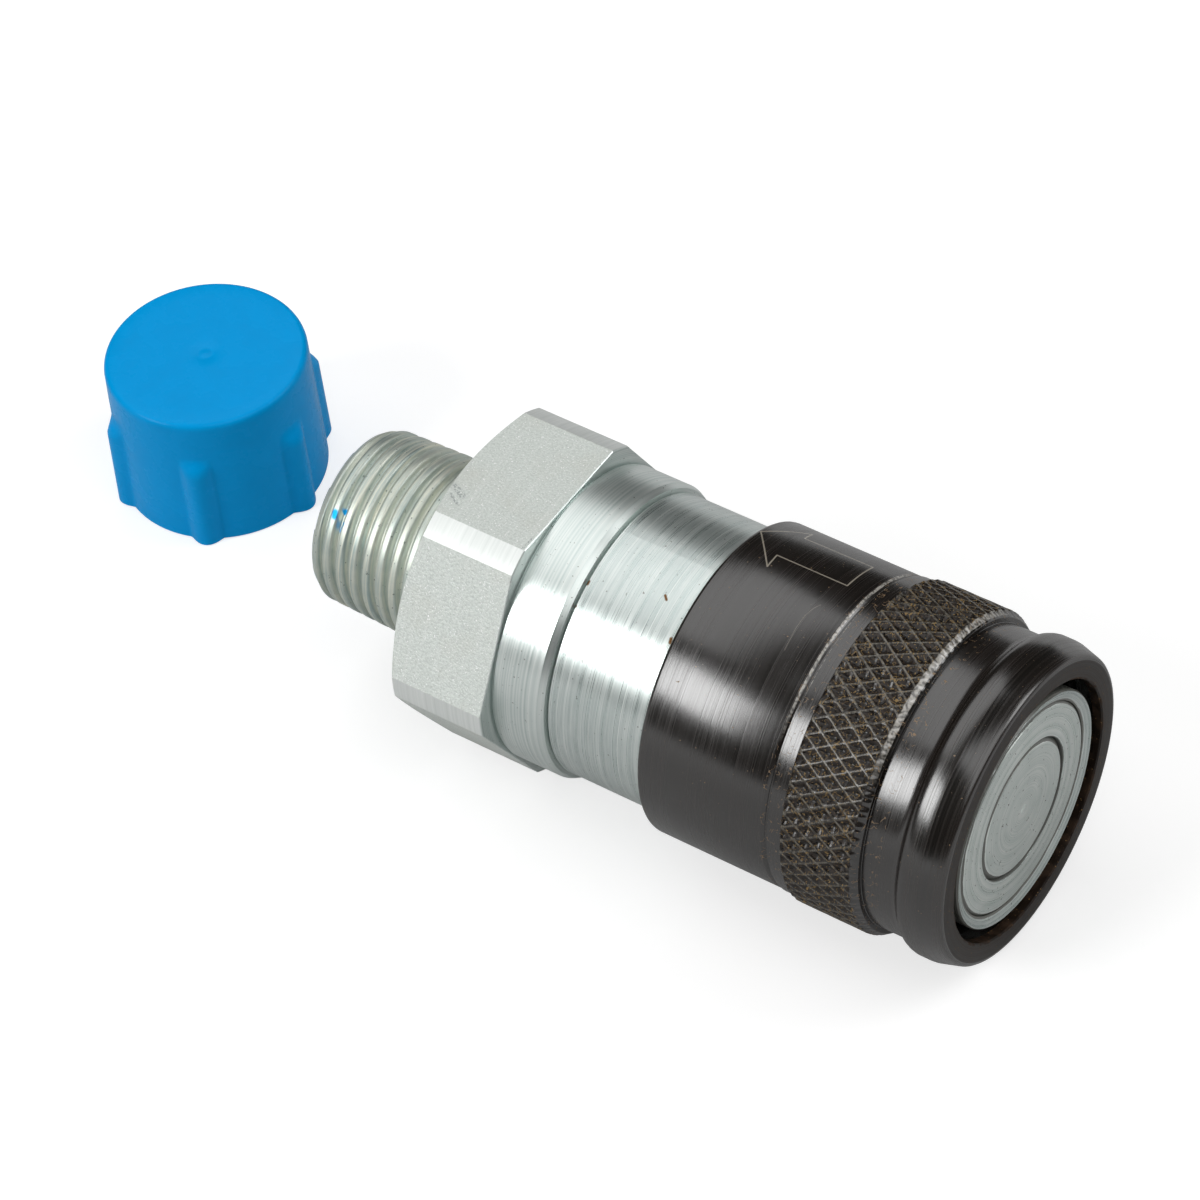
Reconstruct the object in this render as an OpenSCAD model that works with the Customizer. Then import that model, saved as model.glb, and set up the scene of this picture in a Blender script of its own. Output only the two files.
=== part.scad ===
// Flat-face hydraulic half coupler, the socket half, with its thread cap taken off beside it.
// Millimetres. The coupler's axis is X: the coupling face is at x = 0, and the mating half
// comes from +X. Z is up. Depths are counted from the coupling face toward -X.

/* [Coupling face] */
// Diameter of the bore that takes the mating nose
socket_bore_d = 24.5; // [19:0.1:31]
// Outer diameter of the nose ring round the bore
nose_d = 27.2; // [25.6:0.1:28.4]
// How far the nose ring's outer edge stands ahead of the bore edge
nose_rise = 0.45; // [0:0.05:1.2]
// Diameter of the centre stem's head
stem_head_d = 16.3; // [12:0.1:19]
// Flat diameter of the centre stem's face
stem_face_d = 15.1; // [11:0.1:18]
// How far the stem's and valve's faces stand ahead of the bore edge
face_rise = 0.12; // [0:0.01:0.4]

/* [Socket body] */
// Outer diameter of the barrel under the locking sleeve
barrel_d = 29.2; // [28:0.1:31]
// Outer diameter of the rear collar that the sleeve runs on
collar_d = 32.9; // [31:0.1:35]
// Depth of the collar's front shoulder, where the sleeve spring stands
collar_front = 32; // [28:0.5:34]
// Depth of the body's rear end, against the port adapter
body_rear = 49; // [45:0.5:55]
// Depth where the bore widens for the valve's rear flange
valve_stop = 17.5; // [15:0.1:19]
// Diameter of the wider bore behind the stop
valve_chamber_d = 26; // [25.4:0.1:27]
// Depth of the seat that the stem carrier stands on
carrier_seat = 36.5; // [34:0.1:38]
// Diameter of the threaded seat for the adapter's spigot
seat_d = 29.2; // [28.4:0.1:30.4]
// Depth where the rear seal counterbore starts
seal_seat = 46.2; // [44:0.1:47]
// Diameter of the rear seal counterbore
seal_seat_d = 30.2; // [29.6:0.1:31]

/* [Ball lock] */
// Number of locking balls
ball_count = 12; // [6:1:14]
// Diameter of a locking ball
ball_d = 3.5; // [3:0.1:4]
// Depth of the ball row
ball_at = 7.5; // [7:0.1:8.5]
// Diameter of a ball hole
ball_hole_d = 3.6; // [3.1:0.05:4.2]
// Diameter of the lip that keeps a ball from falling into the bore
ball_lip_d = 3.2; // [2.6:0.05:3.4]
// Thickness of that lip
ball_lip = 0.6; // [0.3:0.05:1]

/* [Locking sleeve] */
// Main outer diameter, over the plain rear part
sleeve_d = 36.2; // [34:0.1:40]
// Diameter over the knurled band's crests
knurl_d = 37.2; // [35:0.1:41]
// Depth of the knurled band's front edge
knurl_front = 9.85; // [9:0.05:11]
// Depth of the knurled band's rear edge
knurl_rear = 18.1; // [15:0.1:20]
// How deep the neck ahead of the knurled band is cut below the plain part
neck_deep = 0.7; // [0.3:0.05:1]
// Diameter of the front lip
lip_d = 36.6; // [35:0.1:38]
// Depth of the lip's front edge
lip_front = 1.8; // [1:0.1:2.5]
// Diameter of the front rim
rim_d = 35.5; // [34:0.1:37]
// How far the sleeve's front face stands ahead of the coupling face
sleeve_front = 0.9; // [0:0.05:2]
// Depth of the sleeve's rear edge
sleeve_rear = 36.4; // [34:0.1:40]
// Diameter of the opening in the front face
sleeve_mouth_d = 29.88; // [29.5:0.02:31]
// Diameter of the relief round the balls
relief_d = 31.6; // [31.5:0.05:32.4]
// Depth where the relief ends and the locking land starts
land_front = 9.2; // [9.1:0.05:9.8]
// Depth of the land's rear face
land_rear = 15; // [13:0.1:16]
// Travel of the sleeve, from the balls back to its retaining ring
sleeve_travel = 3.5; // [2:0.1:3.7]

/* [Valve] */
// Depth of the valve's front ring
valve_ring = 7; // [5:0.1:8]
// Inner diameter of the valve's skirt
valve_skirt_d = 21.4; // [20:0.1:22.4]
// Depth of the valve's rear edge
valve_rear = 20; // [19:0.1:24]
// Diameter of the stem's shank
shank_d = 7; // [5:0.1:9]
// Diameter of the stem's threaded end
stem_thread_d = 5.9; // [4:0.1:6.8]
// Thickness of the stem carrier
carrier_t = 3.5; // [2.5:0.1:5]
// Number of flow holes in the carrier
flow_holes = 6; // [3:1:8]
// Diameter of a flow hole
flow_hole_d = 3.5; // [2.5:0.1:4.4]
// Circle that the flow holes stand on
flow_circle_d = 14.6; // [13:0.1:16]
// Width across the stem nut's flats
nut_af = 10; // [7:0.5:13]
// Thickness of the stem nut
nut_t = 3; // [2:0.1:4]
// Thickness of the washer under it
washer_t = 0.9; // [0.5:0.1:1.5]

/* [Springs] */
// Wire diameter of the sleeve spring
sleeve_wire_d = 1.2; // [0.8:0.1:1.4]
// Wire diameter of the valve spring
valve_wire_d = 1.5; // [1:0.1:1.6]
// Turns of the sleeve spring, ground end turns included
sleeve_turns = 6; // [5:0.5:8]
// Turns of the valve spring, closed end turns included
valve_turns = 8; // [6:0.5:10]

/* [Port adapter] */
// Width across the hexagon's flats
hex_af = 35; // [30:0.5:41]
// Diameter that the hexagon's corners are turned to
hex_corner_d = 38.8; // [36:0.1:46]
// Depth of the hexagon's front face
hex_front = 55.55; // [52:0.05:60]
// Depth of the hexagon's rear face
hex_rear = 68.3; // [64:0.1:75]
// Diameter of the collar ahead of the hexagon
adapter_collar_d = 34.5; // [33:0.1:36]
// Depth of the threaded end
port_end = 85.2; // [80:0.1:95]
// Thread diameter at the gauge plane of the 1/2 inch pipe thread
thread_gauge_d = 20.955; // [16:0.005:27]
// Distance of the gauge plane from the threaded end
gauge_length = 8.2; // [5:0.1:12]
// Pitch of that thread, 14 turns to the inch
thread_pitch = 1.814; // [1.3:0.001:2.4]
// Height of its ridges, crests and roots blunted
thread_deep = 1; // [0.6:0.05:1.2]
// Diameter that the thread's end is chamfered to
thread_chamfer_d = 18.9; // [18:0.1:20]
// Diameter of the flow bore in the threaded end
flow_bore_d = 13; // [10:0.1:15]
// Inner diameter of the spigot screwed into the body
spigot_bore_d = 24; // [22:0.1:25]

/* [Thread cap] */
// Where the cap's centre stands, along the coupler's axis
cap_x = -115.9; // [-140:0.1:-105]
// Where the cap's centre stands, across the coupler's axis
cap_y = 11.5; // [-30:0.1:30]
// Height of the cap
cap_height = 18.3; // [14:0.1:22]
// Diameter of the cap's shell at its mouth
cap_base_d = 24.3; // [23:0.1:28]
// Diameter of the cap's shell at its closed end
cap_top_d = 23.6; // [22:0.1:27]
// Diameter over the grip ribs
cap_rib_d = 26.4; // [25:0.1:30]
// Diameter of the cap's mouth, a push fit over the thread
cap_mouth_d = 21.1; // [20.5:0.1:22]
// Inside diameter of the cap at its bottom
cap_bottom_d = 20.3; // [19:0.1:21]
// Length of the cap's tapered lead-in
cap_lead = 6; // [3:0.5:10]
// Thickness of the cap's closed end
cap_end_t = 1.7; // [1:0.1:3]
// Height of a grip rib
rib_height = 12.2; // [8:0.1:15]
// Width of a grip rib
rib_w = 2.4; // [1.5:0.1:4]
// Turn of the ribs round the cap
rib_turn = -3; // [-30:1:30]

/* [Fits] */
// Radial clearance of running and sliding fits
run_gap = 0.05; // [0.02:0.01:0.1]
// Radial clearance of seals in their grooves
seal_gap = 0.03; // [0.01:0.01:0.06]
// End clearance of pieces that stand against a shoulder
end_gap = 0.03; // [0.01:0.01:0.1]
// Clearance left between the pulled-back sleeve and its retaining ring
stop_gap = 0.3; // [0.1:0.05:0.5]
// Small chamfer on turned edges
edge = 0.3; // [0.1:0.05:0.6]

/* [Hidden] */
$fn = 96;

steel_colour = [0.72, 0.72, 0.68];
dark_colour = [0.16, 0.13, 0.11];
rubber_colour = [0.07, 0.07, 0.07];
ring_colour = [0.88, 0.86, 0.80];
cap_colour = [0.00, 0.60, 0.86];

// Small value that lets a cutter pass through a face
past = 1;

socket_r = socket_bore_d / 2;
nose_r = nose_d / 2;
nose_rear = 3.6;
mouth_rear = 0.3;
barrel_r = barrel_d / 2;
collar_r = collar_d / 2;
chamber_r = valve_chamber_d / 2;
seat_r = seat_d / 2;
seal_seat_r = seal_seat_d / 2;

// Grooves: snap ring on the barrel, seal in the socket bore, seal in the stem's head
ring_groove_at = mouth_rear + sleeve_travel + stop_gap;
ring_t = 1;
ring_groove_r = 13.9;
ring_r = 15.1;
ring_split = 5;
probe_groove = [10.6, 13.6];
probe_groove_r = 13.5;
stem_groove = [2.4, 4.8];
stem_groove_r = 6.7;

// Thicknesses of the backup rings behind the seals
probe_backup_t = 1.4;
stem_backup_t = 0.8;
adapter_backup_t = 0.9;

// Balls held out against the closed valve
valve_r = socket_r - run_gap;
ball_r = ball_d / 2;
ball_circle_r = valve_r + ball_r + end_gap;

sleeve_r = sleeve_d / 2;
knurl_r = knurl_d / 2;
neck_r = sleeve_r - neck_deep;
lip_r = lip_d / 2;
rim_r = rim_d / 2;
mouth_r = sleeve_mouth_d / 2;
relief_r = relief_d / 2;
land_r = barrel_r + run_gap;
spring_bore_r = collar_r + run_gap;
neck_front = 5.4;
neck_fillet = 1.4;
neck_rear = 8.9;
band_rise = 0.1;
line_groove = [20.1, 20.65];
line_groove_deep = 0.25;
sleeve_round = 0.5;

seat_washer_t = 1;
valve_flange_r = chamber_r - run_gap;
stem_head_r = stem_head_d / 2;
valve_inner_r = stem_head_r + run_gap;
valve_skirt_r = valve_skirt_d / 2;
stem_head_rear = 6.2;
stem_taper_rear = 10.5;
shank_r = shank_d / 2;
stem_thread_r = stem_thread_d / 2;
stem_end = 44.2;
carrier_rear = carrier_seat + carrier_t;
carrier_r = seat_r - 2 * run_gap;
washer_r = 5.4;

sleeve_spring_r = (barrel_r + spring_bore_r) / 2;
valve_spring_r = valve_skirt_r - valve_wire_d / 2 - 0.25;

neck_spigot_r = 13.4;
spigot_thread_r = seat_r - run_gap;
spigot_bore_r = spigot_bore_d / 2;
adapter_collar_r = adapter_collar_d / 2;
flow_bore_r = flow_bore_d / 2;
spigot_cone_front = 52;
spigot_cone_rear = 60;
thread_chamfer = 1.1;
thread_lead = 1.67;
corner_chamfer_front = hex_rear - 1.15;
corner_chamfer_r = 17.2;

// The coupler lies on the knurled band's lowest line, and the cap stands on the same floor
floor_z = -knurl_r;
rib_reach = cap_rib_d / 2;
cap_edge = 0.7;

// Radius of the 1:16 taper thread's crests at a depth
function thread_r(depth) =
    thread_gauge_d / 2 - (depth - (port_end - gauge_length)) / 32;

// Points of an arc: centre as [radius, depth], with angles from the radial direction
function arc(centre, r, from, to, steps = 8) =
    [for (i = [0:steps]) let (a = from + (to - from) * i / steps)
        centre + r * [cos(a), sin(a)]];

// Point on the thread after a number of turns, at a share of the ridge's height. The first
// turn lies beyond the end, and each goes round the axis once while its depth drops by a pitch
function thread_point(turn, along, share) =
    let (depth = port_end + (thread_lead - turn - along) * thread_pitch,
        r = thread_r(depth) - thread_deep * (1 - share))
    [-depth, r * cos(360 * turn), r * sin(360 * turn)];

// Turns [radius, depth] points round the coupler's axis
module turned(profile) {
    rotate([0, -90, 0])
        rotate_extrude()
            polygon(profile);
}

// Flat ring from one depth to another
module ring(inner_r, outer_r, front, rear) {
    turned([[inner_r, front], [outer_r, front], [outer_r, rear], [inner_r, rear]]);
}

// Seal ring of round section in its groove
module round_ring(inner_r, outer_r, front) {
    wire_r = (outer_r - inner_r) / 2;
    rotate([0, -90, 0])
        rotate_extrude()
            translate([inner_r + wire_r, front + wire_r])
                circle(wire_r);
}

// Solid hexagon across the axis, with one flat on top
module hexagon(flats, front, rear) {
    rotate([0, -90, 0])
        translate([0, 0, front])
            rotate([0, 0, 30])
                cylinder(h = rear - front, d = flats / cos(30), $fn = 6);
}

// Share of the free length reached after a number of turns: the end turns lie closed
function coil_depth(turn, turns, wire, length) =
    let (closed = 1, free = length - wire - 2 * closed * wire * 1.02,
        active = turns - 2 * closed)
    wire / 2 + (turn < closed ? turn * wire * 1.02
        : turn > turns - closed ? length - wire - (turns - turn) * wire * 1.02
        : closed * wire * 1.02 + (turn - closed) / active * free);

// Coil spring between two depths, worked out ring by ring
module coil(mean_r, wire, turns, front, rear) {
    per_turn = 24;
    sides = 8;
    rings = turns * per_turn;
    length = rear - front;
    points = [for (i = [0:rings]) for (k = [0:sides - 1])
        let (a = 360 * i / per_turn, b = 360 * k / sides,
            r = mean_r + wire / 2 * cos(b),
            d = front + coil_depth(i / per_turn, turns, wire, length) + wire / 2 * sin(b))
        [-d, r * cos(a), r * sin(a)]];
    walls = [for (i = [0:rings - 1]) for (k = [0:sides - 1])
        let (n = (k + 1) % sides, p = i * sides, q = p + sides)
        each [[p + k, p + n, q + n], [p + k, q + n, q + k]]];
    caps = [[for (k = [sides - 1:-1:0]) k], [for (k = [0:sides - 1]) rings * sides + k]];
    polyhedron(points, concat(walls, caps), convexity = 10);
}

// Right-hand taper thread, worked out point by point and then chamfered at its end
module pipe_thread() {
    per_turn = 32;
    form = [[0, 0], [0.15, 0], [0.45, 1], [0.7, 1]]; // root, flank, crest and flank in one pitch
    sides = len(form);
    turns = ceil((port_end - hex_rear) / thread_pitch + thread_lead) + 1;
    last = turns * per_turn;
    points = concat([for (i = [0:last]) for (p = form) thread_point(i / per_turn, p[0], p[1])],
        [for (i = [last + 1:last + per_turn]) thread_point(i / per_turn, 0, 0)],
        [[-port_end - (thread_lead + 1) * thread_pitch, 0, 0],
            [-port_end + (turns + 1 - thread_lead) * thread_pitch, 0, 0]]);
    outer = len(points) - 2;
    inner = len(points) - 1;
    function at(i, k) = k == sides ? at(i + per_turn, 0) : i > last ? last * sides + sides - 1 + i - last
        : i * sides + k;
    walls = [for (i = [0:last - 1]) for (k = [0:sides - 1])
        each [[at(i, k), at(i, k + 1), at(i + 1, k + 1)], [at(i, k), at(i + 1, k + 1), at(i + 1, k)]]];
    ends = [for (i = [0:per_turn - 1]) each [[outer, at(i, 0), at(i + 1, 0)],
        [inner, at(last + i + 1, 0), at(last + i, 0)]]];
    steps = [concat([outer], [for (k = [sides:-1:0]) at(0, k)]),
        concat([inner], [for (k = [0:sides]) at(last, k)])];
    chamfer_r = thread_chamfer_d / 2;
    reach = 3 * thread_chamfer;
    slope = (thread_r(port_end) - chamfer_r) / thread_chamfer;
    intersection() {
        polyhedron(points, concat(walls, ends, steps), convexity = 10);
        turned([[0, hex_rear - past],
            [chamfer_r + slope * reach, hex_rear - past],
            [chamfer_r + slope * reach, port_end - reach],
            [chamfer_r, port_end],
            [0, port_end]]);
    }
}

// Screwed end: taper thread, hexagon, collar and the spigot in the body
module port_adapter() {
    color(steel_colour)
        difference() {
            union() {
                turned([[0, carrier_rear],
                    [spigot_thread_r - edge, carrier_rear],
                    [spigot_thread_r, carrier_rear + edge],
                    [spigot_thread_r, seal_seat],
                    [neck_spigot_r, seal_seat],
                    [neck_spigot_r, body_rear],
                    [adapter_collar_r - edge, body_rear],
                    [adapter_collar_r, body_rear + edge],
                    [adapter_collar_r, hex_front + past],
                    [0, hex_front + past]]);
                pipe_thread();
                intersection() {
                    hexagon(hex_af, hex_front, hex_rear);
                    turned([[0, hex_front - past],
                        [hex_corner_d / 2, hex_front - past],
                        [hex_corner_d / 2, corner_chamfer_front],
                        [corner_chamfer_r, hex_rear],
                        [corner_chamfer_r, hex_rear + past],
                        [0, hex_rear + past]]);
                }
            }
            turned([[0, carrier_rear - past],
                [spigot_bore_r + edge + past, carrier_rear - past],
                [spigot_bore_r + edge, carrier_rear],
                [spigot_bore_r, carrier_rear + edge],
                [spigot_bore_r, spigot_cone_front],
                [flow_bore_r, spigot_cone_rear],
                [flow_bore_r, port_end - edge],
                [flow_bore_r + edge, port_end],
                [flow_bore_r + edge, port_end + past],
                [0, port_end + past]]);
        }
}

// Main body: nose ring, barrel with ball holes and seal groove, rear collar
module socket_body() {
    color(steel_colour)
        difference() {
            turned([[socket_r, 0],
                [nose_r - nose_rise / 3, -nose_rise],
                [nose_r, -nose_rise / 2],
                [nose_r, nose_rear],
                [barrel_r, nose_rear],
                [barrel_r, ring_groove_at],
                [ring_groove_r, ring_groove_at],
                [ring_groove_r, ring_groove_at + ring_t],
                [barrel_r, ring_groove_at + ring_t],
                [barrel_r, collar_front],
                [collar_r - edge, collar_front],
                [collar_r, collar_front + edge],
                [collar_r, body_rear - edge],
                [collar_r - edge, body_rear],
                [seal_seat_r, body_rear],
                [seal_seat_r, seal_seat],
                [seat_r, seal_seat],
                [seat_r, carrier_seat],
                [chamber_r, carrier_seat],
                [chamber_r, valve_stop],
                [socket_r, valve_stop],
                [socket_r, probe_groove[1]],
                [probe_groove_r, probe_groove[1]],
                [probe_groove_r, probe_groove[0]],
                [socket_r, probe_groove[0]]]);
            for (i = [0:ball_count - 1])
                rotate([i * 360 / ball_count, 0, 0])
                    translate([-ball_at, 0, socket_r - past]) {
                        cylinder(h = barrel_r - socket_r + 2 * past, d = ball_lip_d);
                        translate([0, 0, past + ball_lip])
                            cylinder(h = barrel_r - socket_r, d = ball_hole_d);
                    }
        }
}

// Locking sleeve, with its rim, lip, neck, grip band and line groove
module locking_sleeve() {
    fillet_turn = 60;
    lip_end = neck_front - neck_fillet * sin(fillet_turn);
    rear_wall = sleeve_r - spring_bore_r;
    rear_round = min(sleeve_round, rear_wall / 3);
    rear_edge = min(edge, rear_wall / 3);
    color(dark_colour)
        turned(concat([[mouth_r, -sleeve_front],
                [rim_r - 0.55, -sleeve_front],
                [rim_r - 0.15, -sleeve_front + 0.2],
                [rim_r, -sleeve_front + 0.55],
                [lip_r, lip_front],
                [lip_r, lip_end - edge]],
            arc([neck_r + neck_fillet, neck_front], neck_fillet, 180 + fillet_turn, 180),
            [[neck_r, neck_rear],
                [sleeve_r - band_rise, neck_rear],
                [knurl_r, knurl_front],
                [knurl_r, knurl_rear],
                [sleeve_r + band_rise, knurl_rear + 0.2],
                [sleeve_r + band_rise, line_groove[0]],
                [sleeve_r - line_groove_deep, line_groove[0]],
                [sleeve_r - line_groove_deep, line_groove[1]],
                [sleeve_r, line_groove[1]]],
            arc([sleeve_r - rear_round, sleeve_rear - rear_round], rear_round, 0, 90),
            [[spring_bore_r + rear_edge, sleeve_rear],
                [spring_bore_r, sleeve_rear - rear_edge],
                [spring_bore_r, land_rear],
                [land_r, land_rear],
                [land_r, land_front],
                [relief_r, land_front],
                [relief_r, mouth_rear],
                [mouth_r, mouth_rear]]));
}

// Split snap ring that the sleeve's front lip is pulled back against
module sleeve_retaining_ring() {
    color(steel_colour)
        difference() {
            ring(ring_groove_r + seal_gap, ring_r, ring_groove_at + end_gap,
                ring_groove_at + ring_t - end_gap);
            translate([-ring_groove_at - ring_t / 2, 0, -ring_r])
                cube([2 * ring_t, ring_split, ring_r], center = true);
        }
}

module locking_balls() {
    color(steel_colour)
        for (i = [0:ball_count - 1])
            rotate([i * 360 / ball_count, 0, 0])
                translate([-ball_at, 0, ball_circle_r])
                    sphere(d = ball_d);
}

module sleeve_spring_seat() {
    color(steel_colour)
        ring(land_r, spring_bore_r - run_gap, land_rear + end_gap, land_rear + seat_washer_t);
}

module sleeve_spring() {
    color(steel_colour)
        coil(sleeve_spring_r, sleeve_wire_d, sleeve_turns,
            land_rear + seat_washer_t + end_gap, collar_front - end_gap);
}

// Sliding valve that closes the gap between socket bore and stem
module valve_sleeve() {
    front = -face_rise;
    face_edge = 0.35;
    color(steel_colour)
        turned([[valve_inner_r + 0.1, front],
            [valve_r - face_edge, front],
            [valve_r, front + face_edge],
            [valve_r, valve_stop + end_gap],
            [valve_flange_r, valve_stop + end_gap],
            [valve_flange_r, valve_rear - edge],
            [valve_flange_r - edge, valve_rear],
            [valve_skirt_r + edge, valve_rear],
            [valve_skirt_r, valve_rear - edge],
            [valve_skirt_r, valve_ring],
            [valve_inner_r, valve_ring],
            [valve_inner_r, front + 0.1]]);
}

module valve_spring() {
    color(steel_colour)
        coil(valve_spring_r, valve_wire_d, valve_turns, valve_ring + end_gap,
            carrier_seat - end_gap);
}

// Fixed stem: the round head in the middle of the coupling face, shank and threaded end
module centre_stem() {
    nib_r = 0.5;
    nib_rise = 0.12;
    dome = 0.08;
    front = -face_rise;
    color(steel_colour)
        turned([[0, front - dome - nib_rise],
            [nib_r, front - dome - nib_rise / 2],
            [nib_r + 0.1, front - dome],
            [stem_face_d / 2, front],
            [stem_head_r, front + 0.5],
            [stem_head_r, stem_groove[0]],
            [stem_groove_r, stem_groove[0]],
            [stem_groove_r, stem_groove[1]],
            [stem_head_r, stem_groove[1]],
            [stem_head_r, stem_head_rear],
            [shank_r, stem_taper_rear],
            [shank_r, carrier_seat - end_gap],
            [stem_thread_r, carrier_seat - end_gap],
            [stem_thread_r, stem_end - 2 * edge],
            [stem_thread_r - 2 * edge, stem_end],
            [0, stem_end]]);
}

// Disc with flow holes that holds the stem, clamped by the adapter's spigot
module stem_carrier() {
    color(steel_colour)
        difference() {
            ring(stem_thread_r + run_gap, carrier_r, carrier_seat, carrier_rear);
            for (i = [0:flow_holes - 1])
                rotate([i * 360 / flow_holes, 0, 0])
                    translate([-carrier_rear - past, 0, flow_circle_d / 2])
                        rotate([0, 90, 0])
                            cylinder(h = carrier_t + 2 * past, d = flow_hole_d);
        }
}

module stem_washer() {
    color(steel_colour)
        ring(stem_thread_r + run_gap, washer_r, carrier_rear, carrier_rear + washer_t);
}

module stem_nut() {
    front = carrier_rear + washer_t;
    color(steel_colour)
        difference() {
            intersection() {
                hexagon(nut_af, front, front + nut_t);
                turned([[0, front - past],
                    [nut_af / 2 - past, front - past],
                    [nut_af / 2 + past, front + past],
                    [nut_af / 2 + past, front + nut_t - past],
                    [nut_af / 2 - past, front + nut_t + past],
                    [0, front + nut_t + past]]);
            }
            turned([[0, front - past],
                [stem_thread_r + seal_gap, front - past],
                [stem_thread_r + seal_gap, front + nut_t + past],
                [0, front + nut_t + past]]);
        }
}

// Seal round the closed valve, and round the mating nose when it is in
module probe_seal() {
    color(rubber_colour)
        round_ring(valve_r + seal_gap, probe_groove_r - seal_gap, probe_groove[0] + 0.1);
}

module probe_backup_ring() {
    color(ring_colour)
        ring(socket_r, probe_groove_r - seal_gap, probe_groove[1] - probe_backup_t,
            probe_groove[1] - end_gap);
}

module stem_seal() {
    color(rubber_colour)
        round_ring(stem_groove_r + seal_gap, valve_inner_r - seal_gap, stem_groove[0] + 0.05);
}

module stem_backup_ring() {
    color(ring_colour)
        ring(stem_groove_r + seal_gap, stem_head_r, stem_groove[1] - stem_backup_t,
            stem_groove[1] - end_gap);
}

// Static seal between the body and the adapter
module adapter_seal() {
    color(rubber_colour)
        round_ring(neck_spigot_r + seal_gap, seal_seat_r - seal_gap, seal_seat + 0.08);
}

module adapter_backup_ring() {
    color(ring_colour)
        ring(neck_spigot_r + seal_gap, seal_seat_r - seal_gap, body_rear - adapter_backup_t,
            body_rear - end_gap);
}

// Thread cap standing on its mouth, with grip ribs round it
module thread_cap() {
    base_r = cap_base_d / 2;
    top_r = cap_top_d / 2;
    rib_r = rib_w / 2;
    mouth = cap_mouth_d / 2;
    bottom = cap_bottom_d / 2;
    deep = cap_height - cap_end_t;
    color(cap_colour)
        translate([cap_x, cap_y, floor_z])
            difference() {
                union() {
                    rotate_extrude()
                        polygon(concat([[0, 0], [base_r, 0]],
                            arc([top_r - cap_edge, cap_height - cap_edge], cap_edge, 0, 90),
                            [[0, cap_height]]));
                    for (i = [0:5])
                        rotate([0, 0, rib_turn + i * 60])
                            translate([rib_reach - rib_r, 0, 0]) {
                                cylinder(h = rib_height - rib_r, r = rib_r);
                                translate([0, 0, rib_height - rib_r])
                                    sphere(rib_r);
                            }
                }
                rotate_extrude()
                    polygon([[0, -past], [mouth, -past], [mouth, edge], [bottom, cap_lead],
                        [bottom, deep - edge], [bottom - edge, deep], [0, deep]]);
            }
}

port_adapter();
socket_body();
locking_sleeve();
sleeve_retaining_ring();
locking_balls();
sleeve_spring_seat();
sleeve_spring();
valve_sleeve();
valve_spring();
centre_stem();
stem_carrier();
stem_washer();
stem_nut();
probe_seal();
probe_backup_ring();
stem_seal();
stem_backup_ring();
adapter_seal();
adapter_backup_ring();
thread_cap();
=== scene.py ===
import math

import bmesh
import bpy
from mathutils import Matrix, Vector


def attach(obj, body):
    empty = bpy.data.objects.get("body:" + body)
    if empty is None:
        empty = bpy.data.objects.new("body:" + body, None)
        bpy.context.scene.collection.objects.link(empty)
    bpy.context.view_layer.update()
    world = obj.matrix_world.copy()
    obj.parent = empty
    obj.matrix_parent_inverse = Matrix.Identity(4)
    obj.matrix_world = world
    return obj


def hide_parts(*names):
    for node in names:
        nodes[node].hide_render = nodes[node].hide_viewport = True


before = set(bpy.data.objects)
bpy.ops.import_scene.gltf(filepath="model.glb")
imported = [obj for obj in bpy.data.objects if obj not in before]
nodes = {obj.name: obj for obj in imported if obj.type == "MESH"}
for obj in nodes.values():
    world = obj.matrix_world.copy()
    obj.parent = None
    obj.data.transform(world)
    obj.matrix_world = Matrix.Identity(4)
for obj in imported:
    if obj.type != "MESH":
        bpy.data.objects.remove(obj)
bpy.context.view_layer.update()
print("frame loaded,", len(nodes), "CAD nodes")

mm = 0.001


def colour(hexText):  # sRGB hex to the linear values that Blender wants
    parts = [int(hexText[i:i + 2], 16) / 255 for i in (1, 3, 5)]
    return tuple(c / 12.92 if c <= 0.04045 else ((c + 0.055) / 1.055) ** 2.4 for c in parts) + (1.0,)


def addNode(tree, kind, inputs=(), **settings):
    node = tree.nodes.new(kind)
    for name, value in settings.items():
        setattr(node, name, value)
    for key, value in (inputs.items() if isinstance(inputs, dict) else enumerate(inputs)):
        if isinstance(value, bpy.types.Node):
            value = value.outputs[0]
        if isinstance(value, bpy.types.NodeSocket):
            tree.links.new(value, node.inputs[key])
        elif value is not None:
            node.inputs[key].default_value = value
    return node


def startMaterial(name):
    material = bpy.data.materials.new(name)
    material.use_nodes = True
    material.node_tree.nodes.clear()
    return material, material.node_tree


def axisPlaces(tree):  # position, and distance from the coupler's axis, in mm
    spot = addNode(tree, "ShaderNodeTexCoord").outputs["Object"]
    place = addNode(tree, "ShaderNodeVectorMath", [spot, (1000, 1000, 1000)], operation="MULTIPLY")
    across = addNode(tree, "ShaderNodeVectorMath", [place, (0, 1, 1)], operation="MULTIPLY")
    away = addNode(tree, "ShaderNodeVectorMath", [across], operation="LENGTH").outputs["Value"]
    return place, away


def turnedWay(tree, place, away):  # grows along a cylinder and across a turned face alike
    x = addNode(tree, "ShaderNodeSeparateXYZ", [place]).outputs["X"]
    return addNode(tree, "ShaderNodeMath", [away, 1.37, x], operation="MULTIPLY_ADD")


def rolledFlat(tree, place, away):  # the turned surface rolled out: along the axis, and arc from the top
    spot = addNode(tree, "ShaderNodeSeparateXYZ", [place])
    angle = addNode(tree, "ShaderNodeMath", [spot.outputs["Y"], spot.outputs["Z"]], operation="ARCTAN2")
    arc = addNode(tree, "ShaderNodeMath", [angle, away], operation="MULTIPLY")
    return addNode(tree, "ShaderNodeCombineXYZ", [spot.outputs["X"], arc, 0.0])


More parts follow.
